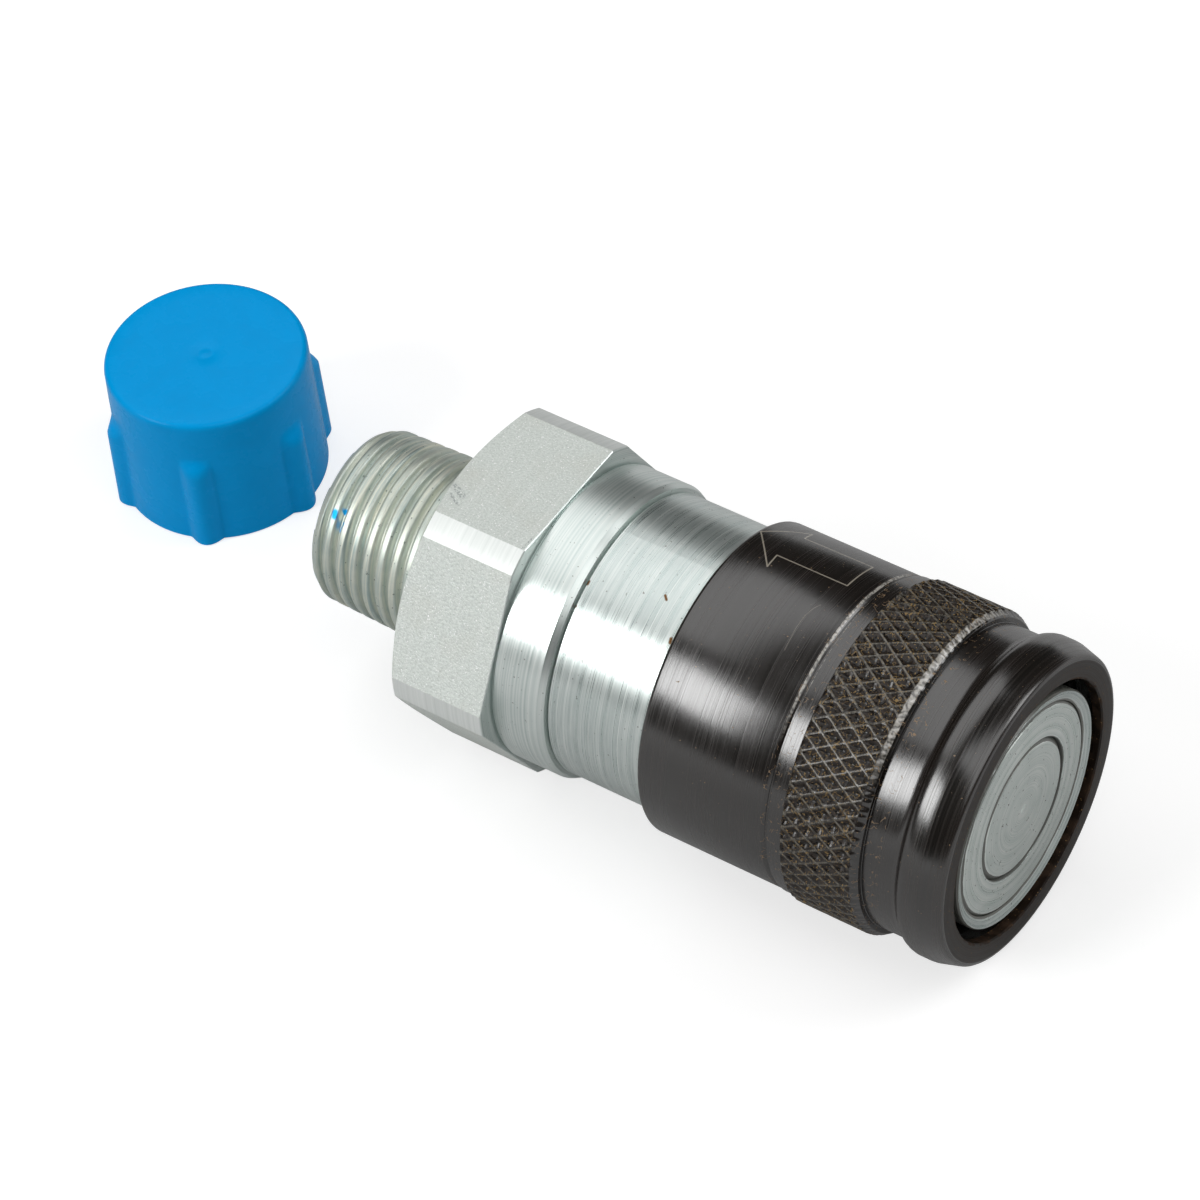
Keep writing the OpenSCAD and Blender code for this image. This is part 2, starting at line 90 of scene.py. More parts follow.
def lineMarks(tree, flat, lines):  # 1 on each line (x, arc, x, arc, width) in mm, 0 beside it
    mask = None
    for x0, arc0, x1, arc1, width in lines:
        way = Vector((x1 - x0, arc1 - arc0, 0))
        passed = addNode(tree, "ShaderNodeVectorMath", [flat, (x0, arc0, 0)], operation="SUBTRACT")
        share = addNode(tree, "ShaderNodeVectorMath", [passed, way / way.length_squared], operation="DOT_PRODUCT")
        held = addNode(tree, "ShaderNodeClamp", [share.outputs["Value"]])
        nearest = addNode(tree, "ShaderNodeVectorMath", {0: way, "Scale": held}, operation="SCALE")
        apart = addNode(tree, "ShaderNodeVectorMath", [passed, nearest], operation="DISTANCE").outputs["Value"]
        line = addNode(tree, "ShaderNodeMapRange", [apart, width * 0.3, width * 0.65, 1, 0])
        mask = line if mask is None else addNode(tree, "ShaderNodeMath", [mask, line], operation="MAXIMUM")
    return mask


def specks(tree, place, sizeMm, rare):  # 1 in small scattered spots, fewer as rare grows
    noise = addNode(tree, "ShaderNodeTexNoise", {"Vector": place, "Scale": 1 / sizeMm, "Detail": 1.0})
    return addNode(tree, "ShaderNodeMapRange", [noise, rare, rare + 0.03, 0, 1])


def hairs(tree, place, sizeMm, thin, rare):  # curled threads: where a noise crosses its middle, kept in patches
    noise = addNode(tree, "ShaderNodeTexNoise", {"Vector": place, "Scale": 1 / sizeMm, "Detail": 1.0})
    thread = addNode(tree, "ShaderNodeMath", [noise, 0.5, thin], operation="COMPARE")
    patch = addNode(tree, "ShaderNodeTexNoise", {"Vector": place, "W": 3.0, "Scale": 1.3 / sizeMm, "Detail": 0.0},
                    noise_dimensions="4D")
    kept = addNode(tree, "ShaderNodeMath", [patch, rare], operation="GREATER_THAN")
    return addNode(tree, "ShaderNodeMath", [thread, kept], operation="MULTIPLY")


def ringBands(tree, along, bands):  # 1 where along lies inside one of the bands (middle, half width)
    mask = None
    for middle, half in bands:
        band = addNode(tree, "ShaderNodeMath", [along, middle, half], operation="COMPARE")
        mask = band if mask is None else addNode(tree, "ShaderNodeMath", [mask, band], operation="MAXIMUM")
    return mask


# Metals

def zincGrain(settings):  # zinc-plated steel as drawn: matt and pimpled, with a fine sparkle
    material, tree = startMaterial("zincPlatedDrawnSteel")
    place, away = axisPlaces(tree)
    flat = rolledFlat(tree, place, away)
    grain = addNode(tree, "ShaderNodeTexNoise", {"Vector": place, "Scale": 1 / settings["grainMm"], "Detail": 3.0,
                    "Roughness": 0.65})
    cloud = addNode(tree, "ShaderNodeTexNoise", {"Vector": place, "Scale": 1 / settings["cloudMm"], "Detail": 3.0})
    streakPlace = addNode(tree, "ShaderNodeMapping", {"Vector": flat, "Rotation": (0, 0, 0.5),
                          "Scale": (1 / settings["streakMm"], 0.06, 0.06)})
    streak = addNode(tree, "ShaderNodeTexNoise", {"Vector": streakPlace, "Scale": 1.0, "Detail": 3.0})
    tone = addNode(tree, "ShaderNodeValToRGB", [grain])
    tone.color_ramp.elements[0].position = 0.34
    tone.color_ramp.elements[0].color = colour(settings["darkColour"])
    tone.color_ramp.elements[1].position = 0.62
    tone.color_ramp.elements[1].color = colour(settings["lightColour"])
    stained = addNode(tree, "ShaderNodeMix", {0: addNode(tree, "ShaderNodeMapRange", [cloud, 0.5, 0.75, 0, 0.35]),
                      6: tone, 7: colour(settings["stainColour"])}, data_type="RGBA")
    streaked = addNode(tree, "ShaderNodeMix", {0: addNode(tree, "ShaderNodeMapRange", [streak, 0.52, 0.75, 0, 0.4]),
                       6: stained.outputs[2], 7: colour(settings["streakColour"])}, data_type="RGBA")
    sparkling = addNode(tree, "ShaderNodeMix", {0: specks(tree, place, settings["sparkMm"], settings["sparkRare"]),
                        6: streaked.outputs[2], 7: colour(settings["sparkColour"])}, data_type="RGBA")
    broken = addNode(tree, "ShaderNodeMath", [lineMarks(tree, flat, settings["rubs"]),
                     specks(tree, place, settings["grainMm"], 0.5)], operation="MULTIPLY")
    rubbed = addNode(tree, "ShaderNodeMix", {0: broken, 6: sparkling.outputs[2],
                     7: colour(settings["rubColour"])}, data_type="RGBA")
    rough = addNode(tree, "ShaderNodeMapRange", [grain, 0.3, 0.7, settings["roughLow"], settings["roughHigh"]])
    bump = addNode(tree, "ShaderNodeBump", {"Height": grain, "Strength": settings["bump"],
                   "Distance": settings["deepMm"] * mm})
    steel = addNode(tree, "ShaderNodeBsdfPrincipled", {"Base Color": rubbed.outputs[2],
                    "Metallic": settings["metallic"], "Roughness": rough, "Normal": bump})
    addNode(tree, "ShaderNodeOutputMaterial", [steel])
    return material


def turnedSteel(name, settings):  # turned, then plated: fine rings, spots, and grime with painted shade in the front's joints
    material, tree = startMaterial(name)
    place, away = axisPlaces(tree)
    way = turnedWay(tree, place, away)
    flat = rolledFlat(tree, place, away)
    fine = addNode(tree, "ShaderNodeTexNoise", {"W": way, "Scale": 1 / settings["markMm"], "Detail": 3.0},
                   noise_dimensions="1D")
    broad = addNode(tree, "ShaderNodeTexNoise", {"W": way, "Scale": 1 / settings["bandMm"], "Detail": 1.0},
                    noise_dimensions="1D")
    cloud = addNode(tree, "ShaderNodeTexNoise", {"Vector": place, "Scale": 1 / settings["cloudMm"], "Detail": 4.0})
    brushPlace = addNode(tree, "ShaderNodeVectorMath", [flat, (1 / settings["markMm"], 0.25, 0)],
                         operation="MULTIPLY")
    brush = addNode(tree, "ShaderNodeTexNoise", {"Vector": brushPlace, "Scale": 1.0, "Detail": 2.0})
    rings = addNode(tree, "ShaderNodeMath", [broad, 0.5, fine], operation="MULTIPLY_ADD")
    marks = addNode(tree, "ShaderNodeMath", [addNode(tree, "ShaderNodeMath", [brush, 0.5], operation="SUBTRACT"),
                    settings["brushShare"], rings], operation="MULTIPLY_ADD")
    uneven = addNode(tree, "ShaderNodeMath", [cloud, settings["cloudShare"], marks], operation="MULTIPLY_ADD")
    tone = addNode(tree, "ShaderNodeValToRGB", [addNode(tree, "ShaderNodeMapRange", [uneven, 0.55, 1.25, 0, 1])])
    tone.color_ramp.elements[0].color = colour(settings["darkColour"])
    tone.color_ramp.elements[1].color = colour(settings["lightColour"])
    ragged = addNode(tree, "ShaderNodeMath", [cloud, 0.3, away], operation="MULTIPLY_ADD")
    # painted shade and grime: rings at the joints of the front are darkened and lose their metal
    corners = ringBands(tree, ragged, settings["shadeAndDirtRings"])
    x = addNode(tree, "ShaderNodeSeparateXYZ", [place]).outputs["X"]
    front = addNode(tree, "ShaderNodeMath", [x, settings["shadeAndDirtRear"]], operation="GREATER_THAN")
    cornered = addNode(tree, "ShaderNodeMath", [corners, front], operation="MULTIPLY")
    dirtAndShade = addNode(tree, "ShaderNodeMath", [cornered, specks(tree, place, settings["speckMm"], settings["speckRare"])],
                   operation="MAXIMUM")
    dirtiedAndShaded = addNode(tree, "ShaderNodeMix", {0: addNode(tree, "ShaderNodeMath", [dirtAndShade, 0.8], operation="MULTIPLY"),
                    6: tone, 7: colour(settings["dirtAndShadeColour"])}, data_type="RGBA")
    spotted = addNode(tree, "ShaderNodeMix", {0: lineMarks(tree, flat, settings["spots"]), 6: dirtiedAndShaded.outputs[2],
                      7: colour(settings["spotColour"])}, data_type="RGBA")
    outsideShadeAndDirt = addNode(tree, "ShaderNodeMath", [1.0, cornered], operation="SUBTRACT")
    metal = addNode(tree, "ShaderNodeMath", [outsideShadeAndDirt, settings["metallic"]], operation="MULTIPLY")
    rough = addNode(tree, "ShaderNodeMapRange", [marks, 0.45, 1.0, settings["roughLow"], settings["roughHigh"]])
    bump = addNode(tree, "ShaderNodeBump", {"Height": marks, "Strength": settings["bump"],
                   "Distance": settings["deepMm"] * mm})
    steel = addNode(tree, "ShaderNodeBsdfPrincipled", {"Base Color": spotted.outputs[2], "Metallic": metal,
                    "Roughness": rough, "Normal": bump})
    addNode(tree, "ShaderNodeOutputMaterial", [steel])
    return material


# Turned, then blackened: deep brown-black, rubbed through on the knurl's crests, a painted highlight on the top edges,
# grime and straw in the knurl and painted shade at the bottom of its pits
def blackenedSteel(name, settings):
    material, tree = startMaterial(name)
    place, away = axisPlaces(tree)
    way = turnedWay(tree, place, away)
    flat = rolledFlat(tree, place, away)
    fine = addNode(tree, "ShaderNodeTexNoise", {"W": way, "Scale": 1 / settings["markMm"], "Detail": 3.0},
                   noise_dimensions="1D")
    broad = addNode(tree, "ShaderNodeTexNoise", {"W": way, "Scale": 1 / settings["bandMm"], "Detail": 2.0},
                    noise_dimensions="1D")
    marks = addNode(tree, "ShaderNodeMath", [broad, 0.6, fine], operation="MULTIPLY_ADD")
    cloud = addNode(tree, "ShaderNodeTexNoise", {"Vector": place, "Scale": 1 / settings["cloudMm"], "Detail": 4.0})
    tone = addNode(tree, "ShaderNodeValToRGB", [addNode(tree, "ShaderNodeMapRange", [marks, 0.6, 1.15, 0, 1])])
    tone.color_ramp.elements[0].color = colour(settings["darkColour"])
    tone.color_ramp.elements[1].color = colour(settings["lightColour"])
    x = addNode(tree, "ShaderNodeSeparateXYZ", [place]).outputs["X"]
    band = addNode(tree, "ShaderNodeMath", [x, settings["bandMiddle"], settings["bandHalf"]], operation="COMPARE")
    deep = addNode(tree, "ShaderNodeMapRange", [away, settings["crestLow"], settings["pitLow"], 0, 1])
    dust = addNode(tree, "ShaderNodeTexNoise", {"Vector": place, "Scale": 1 / settings["dustMm"], "Detail": 2.0})
    dusty = addNode(tree, "ShaderNodeMath", [deep, addNode(tree, "ShaderNodeMapRange", [dust, 0.42, 0.66, 0, 1])],
                    operation="MULTIPLY")
    recess = addNode(tree, "ShaderNodeMath", [away, settings["recessRadius"]], operation="LESS_THAN")
    inBand = addNode(tree, "ShaderNodeMath", [dusty, addNode(tree, "ShaderNodeMath", [band, recess],
                     operation="MAXIMUM")], operation="MULTIPLY")
    # painted shade: the knurl's pits darken to near black towards their bottoms
    bottom = addNode(tree, "ShaderNodeMapRange", [away, settings["pitLow"], settings["pitBottom"], 0, 0.85])
    paintedPitShade = addNode(tree, "ShaderNodeMath", [bottom, band], operation="MULTIPLY")
    dusted = addNode(tree, "ShaderNodeMix", {0: inBand, 6: tone, 7: colour(settings["dustColour"])},
                     data_type="RGBA")
    pitShaded = addNode(tree, "ShaderNodeMix", {0: paintedPitShade, 6: dusted.outputs[2], 7: colour(settings["pitShadeColour"])},
                     data_type="RGBA")
    crest = addNode(tree, "ShaderNodeMapRange", [away, settings["crestLow"], settings["crestHigh"], 0, 1])
    # painted highlight: light bands on the knurl's front bevel and the groove's edges, joined with the crests' real
    # wear
    edges = ringBands(tree, addNode(tree, "ShaderNodeMath", [cloud, 0.12, x], operation="MULTIPLY_ADD"),
                      settings["highlitEdges"])
    outside = addNode(tree, "ShaderNodeMath", [away, settings["edgeRadius"]], operation="GREATER_THAN")
    upper = addNode(tree, "ShaderNodeMapRange", [addNode(tree, "ShaderNodeSeparateXYZ", [place]).outputs["Z"],
                    *settings["highlightHeights"], 0, 1])
    paintedEdgeHighlight = addNode(tree, "ShaderNodeMath", [addNode(tree, "ShaderNodeMath", [edges, outside], operation="MULTIPLY"),
                    upper], operation="MULTIPLY")
    wearAndHighlight = addNode(tree, "ShaderNodeMath", [paintedEdgeHighlight, crest], operation="MAXIMUM")
    patchy = addNode(tree, "ShaderNodeTexNoise", {"Vector": place, "Scale": 1 / settings["dustMm"], "Detail": 0.0})
    patchyWearAndHighlight = addNode(tree, "ShaderNodeMath", [wearAndHighlight, addNode(tree, "ShaderNodeMapRange", [patchy, 0.35, 0.6, 0.25, 1])],
                   operation="MULTIPLY")
    body = addNode(tree, "ShaderNodeMix", {0: patchyWearAndHighlight, 6: pitShaded.outputs[2], 7: colour(settings["wearAndHighlightColour"])},
                   data_type="RGBA")
    engraved = addNode(tree, "ShaderNodeMix", {0: lineMarks(tree, flat, settings["engraving"]), 6: body.outputs[2],
                       7: colour(settings["engravedColour"])}, data_type="RGBA")
    scratched = addNode(tree, "ShaderNodeMix", {0: lineMarks(tree, flat, settings["scratches"]),
                        6: engraved.outputs[2], 7: colour(settings["scratchColour"])}, data_type="RGBA")
    nearBand = addNode(tree, "ShaderNodeMath", [x, settings["bandMiddle"], settings["bandHalf"] + 3],
                       operation="COMPARE")
    straws = hairs(tree, place, settings["strawMm"], 0.011, settings["strawRare"])
    loose = addNode(tree, "ShaderNodeMath", [addNode(tree, "ShaderNodeMath", [straws, nearBand],
                    operation="MULTIPLY"), specks(tree, place, settings["speckMm"], settings["speckRare"])],
                    operation="MAXIMUM")
    littered = addNode(tree, "ShaderNodeMix", {0: loose, 6: scratched.outputs[2],
                       7: colour(settings["strawColour"])}, data_type="RGBA")
    rough = addNode(tree, "ShaderNodeMapRange", [marks, 0.6, 1.15, settings["roughLow"], settings["roughHigh"]])
    dull = addNode(tree, "ShaderNodeMath", [addNode(tree, "ShaderNodeMath", [inBand, loose], operation="MAXIMUM"),
                   0.4, rough], operation="MULTIPLY_ADD")
    bump = addNode(tree, "ShaderNodeBump", {"Height": marks, "Strength": settings["bump"],
                   "Distance": settings["deepMm"] * mm})
    oxide = addNode(tree, "ShaderNodeBsdfPrincipled", {"Base Color": littered.outputs[2], "IOR": settings["ior"],
                    "Roughness": dull, "Normal": bump})
    addNode(tree, "ShaderNodeOutputMaterial", [oxide])
    return material


def plainFinish(name, settings):  # one tone with a little unevenness, for small inner pieces
    material, tree = startMaterial(name)
    place, away = axisPlaces(tree)
    cloud = addNode(tree, "ShaderNodeTexNoise", {"Vector": place, "Scale": 1 / settings["cloudMm"], "Detail": 4.0})
    tone = addNode(tree, "ShaderNodeValToRGB", [cloud])
    tone.color_ramp.elements[0].position = 0.3
    tone.color_ramp.elements[0].color = colour(settings["darkColour"])
    tone.color_ramp.elements[1].position = 0.7
    tone.color_ramp.elements[1].color = colour(settings["lightColour"])
    rough = addNode(tree, "ShaderNodeMapRange", [cloud, 0.3, 0.7, settings["roughLow"], settings["roughHigh"]])
    bump = addNode(tree, "ShaderNodeBump", {"Height": cloud, "Strength": settings["bump"],
                   "Distance": settings["deepMm"] * mm})
    skin = addNode(tree, "ShaderNodeBsdfPrincipled", {"Base Color": tone, "Metallic": settings["metallic"],
                   "IOR": settings["ior"], "Roughness": rough, "Normal": bump})
    addNode(tree, "ShaderNodeOutputMaterial", [skin])
    return material


# Turning marks are about 0.05 mm apart in the steel, and are drawn two to three times coarser so that they show.
# Lines and spots are (x, arc, x, arc, width) in mm, the arc from the top and growing away from the camera.
zincGrainLook = {"grainMm": 0.25, "cloudMm": 6, "streakMm": 0.5, "sparkMm": 0.16, "sparkRare": 0.68,
                 "darkColour": "#C6CCC7", "lightColour": "#DCE2DD", "stainColour": "#C9C9BF",
                 "streakColour": "#E4E7E4", "sparkColour": "#FFFFFF", "rubColour": "#A9AFAD",
                 "rubs": [(-67.4, -4.4, -66.0, -5.2, 0.9), (-67.2, -5.6, -65.6, -6.6, 0.4),
                          (-55.9, -6.4, -56.0, -9.6, 0.25)],
                 "roughLow": 0.42, "roughHigh": 0.58, "bump": 0.7, "deepMm": 0.08, "metallic": 0.35}
turnedZincLook = {"markMm": 0.12, "bandMm": 0.7, "cloudMm": 3.5, "cloudShare": 0.25, "brushShare": 0.45,
                  "darkColour": "#A6B3B1", "lightColour": "#E6EBE8", "dirtAndShadeColour": "#3B3224", "speckMm": 0.3,
                  "speckRare": 0.74, "shadeAndDirtRings": [(12.35, 0.25), (14.35, 0.75)], "shadeAndDirtRear": -2.5,
                  "spots": [(-40.2, -5.0, -39.8, -5.4, 0.3), (-48.7, -7.0, -48.7, -7.3, 0.35),
                            (-37.2, -9.0, -37.1, -9.4, 0.4), (-48.8, -9.9, -48.8, -10.0, 0.3)],
                  "spotColour": "#6B4C2C", "roughLow": 0.24, "roughHigh": 0.38, "bump": 0.35, "deepMm": 0.02,
                  "metallic": 0.85}
collarLook = {**turnedZincLook, "markMm": 0.25, "brushShare": 0.1, "darkColour": "#BECAC7", "roughLow": 0.3,
              "roughHigh": 0.36, "bump": 0.08}
cornerLook = {**turnedZincLook, "markMm": 0.4, "bandMm": 4, "brushShare": 0.1, "darkColour": "#DDE2DF",
              "lightColour": "#F3F6F4", "speckRare": 0.9, "roughLow": 0.42, "roughHigh": 0.46, "bump": 0.03,
              "metallic": 0.6}
threadLook = {"markMm": 0.3, "bandMm": 1.2, "cloudMm": 2.0, "cloudShare": 0.4, "brushShare": 0.3,
              "darkColour": "#94AAAB", "lightColour": "#E3E4D5", "dirtAndShadeColour": "#6E7A74", "speckMm": 0.4,
              "speckRare": 0.72, "shadeAndDirtRings": [(6.6, 0.1)], "shadeAndDirtRear": 0.0,
              "spots": [(-82.9, -7.6, -82.8, -8.0, 0.8), (-81.6, -8.4, -81.7, -8.8, 0.6),
                        (-82.0, -6.6, -82.1, -6.8, 0.5)], "spotColour": "#0F94D2", "roughLow": 0.38,
              "roughHigh": 0.52, "bump": 0.25, "deepMm": 0.02, "metallic": 0.8}
faceLook = {"markMm": 0.16, "bandMm": 0.9, "cloudMm": 4, "cloudShare": 0.3, "brushShare": 0.3,
            "darkColour": "#C0CDC8", "lightColour": "#F1F4F1", "dirtAndShadeColour": "#2E241A", "speckMm": 0.35,
            "speckRare": 0.72, "shadeAndDirtRings": [(8.1, 0.32), (12.35, 0.28)], "shadeAndDirtRear": -3.0,
            "spots": [(-0.6, 5.0, -0.6, 5.2, 0.2)], "spotColour": "#4A4338", "roughLow": 0.26, "roughHigh": 0.42,
            "bump": 0.4, "deepMm": 0.02, "metallic": 0.9}
engravedMm, scratchMm = 0.17, 0.1
arrowPoints = [(-35.9, 7.2), (-31.9, 2.2), (-32.1, 4.4), (-23.4, 4.4), (-23.6, 10.1), (-32.0, 9.9), (-32.3, 12.2)]
scratchPoints = [(-24.5, -6.2), (-24.6, -4.9), (-24.75, -3.3), (-24.7, -1.6), (-24.45, -0.4), (-24.1, 0.3)]
blackLook = {"markMm": 0.14, "bandMm": 0.9, "cloudMm": 2.5, "dustMm": 0.35, "strawMm": 0.9, "strawRare": 0.57,
             "speckMm": 0.3, "speckRare": 0.76, "darkColour": "#0D0906", "lightColour": "#1D1510",
             "wearAndHighlightColour": "#A8A49D", "dustColour": "#4A3725", "strawColour": "#7A6040",
             "engravedColour": "#8F887C", "scratchColour": "#5A554E", "pitShadeColour": "#060403",
             "bandMiddle": -13.98, "bandHalf": 4.15, "crestLow": 18.52, "crestHigh": 18.6, "pitLow": 18.42,
             "pitBottom": 18.2, "edgeRadius": 17.9, "recessRadius": 15.2,
             "highlitEdges": [(-9.38, 0.34), (-19.98, 0.05), (-20.66, 0.13)],
             "highlightHeights": (12, 16),  # painted highlight: the edges are lighter only on the sleeve's top
             "engraving": [a + b + (engravedMm,) for a, b in zip(arrowPoints, arrowPoints[1:] + arrowPoints[:1])],
             "scratches": [a + b + (scratchMm,) for a, b in zip(scratchPoints, scratchPoints[1:])],
             "roughLow": 0.18, "roughHigh": 0.32, "bump": 0.3, "deepMm": 0.02, "ior": 1.85}
oiledShadedLook = {"darkColour": "#150F0B", "lightColour": "#2A2018", "dustMm": 1.5, "dustColour": "#38291D",
             "speckRare": 0.7, "roughLow": 0.3, "roughHigh": 0.45, "ior": 1.3}
knurlLook = {"wearAndHighlightColour": "#6F6A60", "dustColour": "#30241A", "strawColour": "#80683F", "strawRare": 0.53,
             "speckMm": 0.22, "speckRare": 0.66, "ior": 1.5, "roughLow": 0.22, "roughHigh": 0.36}
springLook = {"cloudMm": 1.5, "darkColour": "#6B6B6C", "lightColour": "#A5A5A3", "roughLow": 0.25, "roughHigh": 0.4,
              "bump": 0.2, "deepMm": 0.05, "metallic": 1.0, "ior": 1.5}
ballLook = {"cloudMm": 1.5, "darkColour": "#B5B5B5", "lightColour": "#D9D9D9", "roughLow": 0.08, "roughHigh": 0.15,
            "bump": 0.05, "deepMm": 0.05, "metallic": 1.0, "ior": 1.5}
rubberLook = {"cloudMm": 0.8, "darkColour": "#0D0D0D", "lightColour": "#1D1D1D", "roughLow": 0.5, "roughHigh": 0.65,
              "bump": 0.3, "deepMm": 0.05, "metallic": 0.0, "ior": 1.5}
backupLook = {"cloudMm": 0.8, "darkColour": "#CFCBC0", "lightColour": "#E4E0D6", "roughLow": 0.45, "roughHigh": 0.6,
              "bump": 0.2, "deepMm": 0.05, "metallic": 0.0, "ior": 1.4}
capLook = {"cloudMm": 3, "darkColour": "#0096DA", "lightColour": "#009ADF", "roughLow": 0.24, "roughHigh": 0.3,
           "bump": 0.1, "deepMm": 0.05, "metallic": 0.0, "ior": 1.16}

hexZinc = zincGrain(zincGrainLook)
turnedZinc = turnedSteel("zincPlatedTurnedSteel", turnedZincLook)  # bright, with silky rings round the axis
collarZinc = turnedSteel("smoothZincCollar", collarLook)  # finer turned, so its highlight is calmer
cornerZinc = turnedSteel("zincPlatedHexCorner", cornerLook)  # a pale matt strip between two flats
threadZinc = turnedSteel("yellowedZincThread", threadLook)  # teal and cream passivation, rubbed by the blue cap
faceSteel = turnedSteel("turnedFaceSteel", faceLook)  # rings round the middle, grime and painted shade in the joints between parts
blackSteel = blackenedSteel("blackenedTurnedSteel", blackLook)  # oily black with long soft highlights
oiledShadedSteel = blackenedSteel("oiledShadedBlackenedFront", {**blackLook, **oiledShadedLook})  # browner and dirtier, and duller as painted shade on the front face and mouth
knurlSteel = blackenedSteel("dirtFilledKnurlWithPaintedPitShade", {**blackLook, **knurlLook})  # grey crests over grimy pits that darken to painted shade at their bottoms
springSteel = plainFinish("oiledSpringSteel", springLook)  # grey wire with a soft shine
ballSteel = plainFinish("polishedBearingSteel", ballLook)  # mirror bright
sealRubber = plainFinish("mouldedNitrileRubber", rubberLook)  # dull black
backupPlastic = plainFinish("turnedFluoropolymer", backupLook)  # waxy off-white
capPlastic = plainFinish("mouldedPolyethylene", capLook)  # even clear blue, slightly waxy
print("materials ready")


# Mesh helpers

def ringFaces(bm, rings, closed):  # each ring is a list of (x, y, z) in mm, all of one length
    rows = [[bm.verts.new(Vector(p) * mm) for p in ring] for ring in rings]
    count = len(rows[0])
    made = []
    for i in range(len(rows) if closed else len(rows) - 1):
        a, b = rows[i], rows[(i + 1) % len(rows)]
        made.append([bm.faces.new((a[j], a[(j + 1) % count], b[(j + 1) % count], b[j])) for j in range(count)])
    return made


def latheRing(radius, depth, columns, turn=0):  # turn moves its first column round, in columns
    angles = [2 * math.pi * (j + turn) / columns for j in range(columns)]
    return [(-depth, radius * math.sin(a), radius * math.cos(a)) for a in angles]


def tidyMesh(bm, sharpTurn):  # closes seams, points faces outwards and keeps real edges crisp
    bmesh.ops.remove_doubles(bm, verts=bm.verts, dist=0.0000005)
    bmesh.ops.recalc_face_normals(bm, faces=bm.faces)
    for face in bm.faces:
        face.smooth = True
    for edge in bm.edges:
        if len(edge.link_faces) == 2 and edge.calc_face_angle(0) > math.radians(sharpTurn):
            edge.smooth = False


def addPiece(name, bm, materials):
    mesh = bpy.data.meshes.new(name)
    bm.to_mesh(mesh)
    bm.free()
    for material in materials:
        mesh.materials.append(material)
    piece = bpy.data.objects.new(name, mesh)
    bpy.context.scene.collection.objects.link(piece)
    return piece


def startTree(name, sockets):
    tree = bpy.data.node_groups.new(name, "GeometryNodeTree")
    tree.interface.new_socket(name="Geometry", in_out="INPUT", socket_type="NodeSocketGeometry")
    for label, kind in sockets:
        tree.interface.new_socket(name=label, in_out="INPUT", socket_type=kind)
    tree.interface.new_socket(name="Geometry", in_out="OUTPUT", socket_type="NodeSocketGeometry")
    return tree, addNode(tree, "NodeGroupInput").outputs


def bake(piece, tree, values):  # runs the tree once and keeps its result as a plain mesh
    modifier = piece.modifiers.new(tree.name, "NODES")
    modifier.node_group = tree
    for item in tree.interface.items_tree:
        if item.in_out == "INPUT" and item.name in values:
            modifier[item.identifier] = values[item.name]
    bpy.context.view_layer.update()
    done = bpy.data.meshes.new_from_object(piece.evaluated_get(bpy.context.evaluated_depsgraph_get()))
    piece.modifiers.clear()
    old, piece.data = piece.data, done
    bpy.data.meshes.remove(old)
    done.name = piece.name


def closeSeams(piece, closeMm):
    bm = bmesh.new()
    bm.from_mesh(piece.data)
    bmesh.ops.remove_doubles(bm, verts=bm.verts, dist=closeMm * mm)
    bmesh.ops.dissolve_degenerate(bm, edges=bm.edges, dist=0.0000002)
    bmesh.ops.recalc_face_normals(bm, faces=bm.faces)
    bm.to_mesh(piece.data)
    bm.free()


# Port adapter: pipe thread, hexagon with turned corners, collar, spigot

adapterSizes = {"end": 85.2, "hexRear": 68.3, "hexFront": 55.55, "flats": 35, "cornerRadius": 19.4,
                "cornerRear": 67.15, "chamferRadius": 17.2, "collarRadius": 17.25, "bodyRear": 49,
                "neckRadius": 13.4, "spigotRadius": 14.55, "spigotRear": 46.2, "spigotFront": 40,
                "spigotBore": 12, "coneFront": 52, "coneRear": 60, "boreRadius": 6.5, "edge": 0.3,
                "collarChamfer": 0.7, "hexEdge": 0.1, "columns": 360, "threadFoot": 8.95}
threadSizes = {"Pitch": 1.814 * mm, "End": 85.2 * mm, "Length": 16.9 * mm, "End Radius": 10.19 * mm,
               "Taper": 1 / 32, "Depth": 0.75 * mm, "Chamfer Radius": 9.45 * mm, "Chamfer Slope": 0.68,
               "Foot Radius": 8.95 * mm, "Lead": 0.154, "Columns": 360, "Steps": 12}


